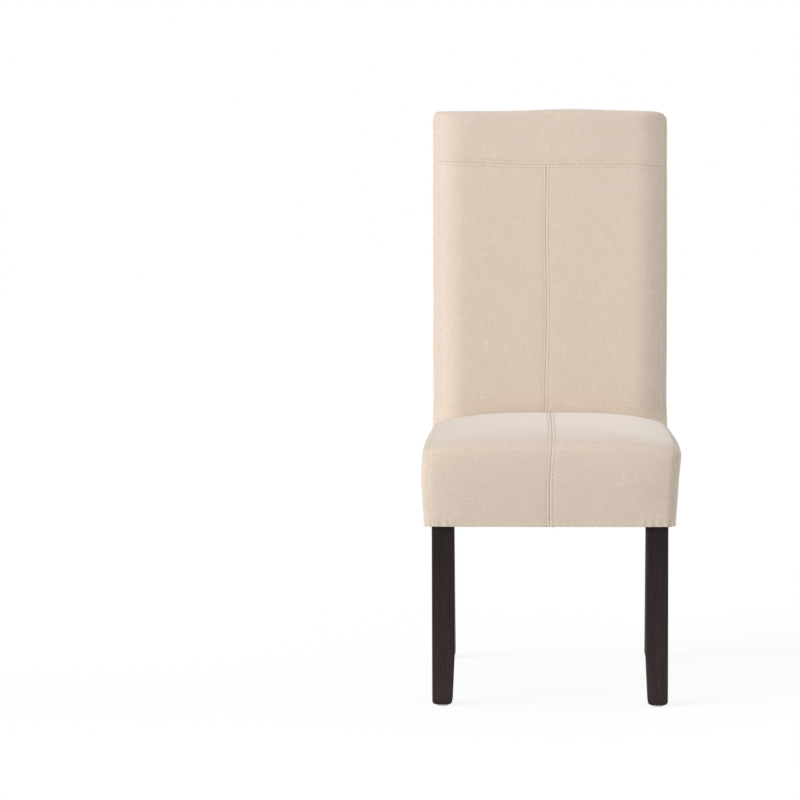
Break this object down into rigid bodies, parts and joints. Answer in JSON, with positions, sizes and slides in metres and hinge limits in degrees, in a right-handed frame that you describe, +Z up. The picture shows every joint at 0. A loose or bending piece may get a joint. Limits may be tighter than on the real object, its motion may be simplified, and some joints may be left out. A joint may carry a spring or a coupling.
{
  "type": "parsons chair",
  "caption": "Armless dining chair with a tall upholstered back, a thick box seat with a rounded front edge, and dark square wooden legs.",
  "frame": {"origin": "on the floor, under the middle of the chair's overall box", "axes": "+Z up; the chair faces -Y; +X is to the right when the chair is seen from its front"},
  "size_m": [0.4388, 0.6076, 1.016],
  "materials": {
    "stained_wood": "satin espresso stain over solid hardwood",
    "raw_wood": "bare sawn hardwood",
    "glide_plastic": "moulded nylon",
    "screw_steel": "zinc-plated steel",
    "webbing": "woven jute",
    "foam": "open-cell polyurethane foam and polyester wadding",
    "cloth": "cream linen-look plain weave with topstitched seams",
    "dust_cloth": "black non-woven polypropylene"
  },
  "bodies": {
    "root": {"front_leg_left": "stained_wood", "front_leg_right": "stained_wood", "rear_post_left": "stained_wood", "rear_post_right": "stained_wood", "front_seat_rail": "raw_wood", "rear_seat_rail": "raw_wood", "side_seat_rail_left": "raw_wood", "side_seat_rail_right": "raw_wood", "back_top_rail": "raw_wood", "back_middle_rail": "raw_wood", "glide_front_left": "glide_plastic", "glide_front_right": "glide_plastic", "glide_rear_left": "glide_plastic", "glide_rear_right": "glide_plastic", "corner_block_front_left": "raw_wood", "corner_block_front_right": "raw_wood", "corner_block_rear_left": "raw_wood", "corner_block_rear_right": "raw_wood", "block_screw_front_left_1": "screw_steel", "block_screw_front_left_2": "screw_steel", "block_screw_front_right_1": "screw_steel", "block_screw_front_right_2": "screw_steel", "block_screw_rear_left_1": "screw_steel", "block_screw_rear_left_2": "screw_steel", "block_screw_rear_right_1": "screw_steel", "block_screw_rear_right_2": "screw_steel", "seat_webbing_lengthwise_1": "webbing", "seat_webbing_lengthwise_2": "webbing", "seat_webbing_lengthwise_3": "webbing", "seat_webbing_crosswise_1": "webbing", "seat_webbing_crosswise_2": "webbing", "seat_webbing_crosswise_3": "webbing", "back_webbing_1": "webbing", "back_webbing_2": "webbing", "back_webbing_3": "webbing", "seat_foam": "foam", "seat_front_pad": "foam", "seat_side_pad_left": "foam", "seat_side_pad_right": "foam", "back_foam": "foam", "back_wadding": "foam", "back_top_pad": "foam", "back_side_pad_left": "foam", "back_side_pad_right": "foam", "seat_cover_left": "cloth", "seat_cover_right": "cloth", "seat_cover_side_left": "cloth", "seat_cover_side_right": "cloth", "back_cover_front_left": "cloth", "back_cover_front_right": "cloth", "back_cover_side_left": "cloth", "back_cover_side_right": "cloth", "back_cover_top_band": "cloth", "back_cover_rear": "cloth", "dust_cover": "dust_cloth"}
  },
  "joints": []
}
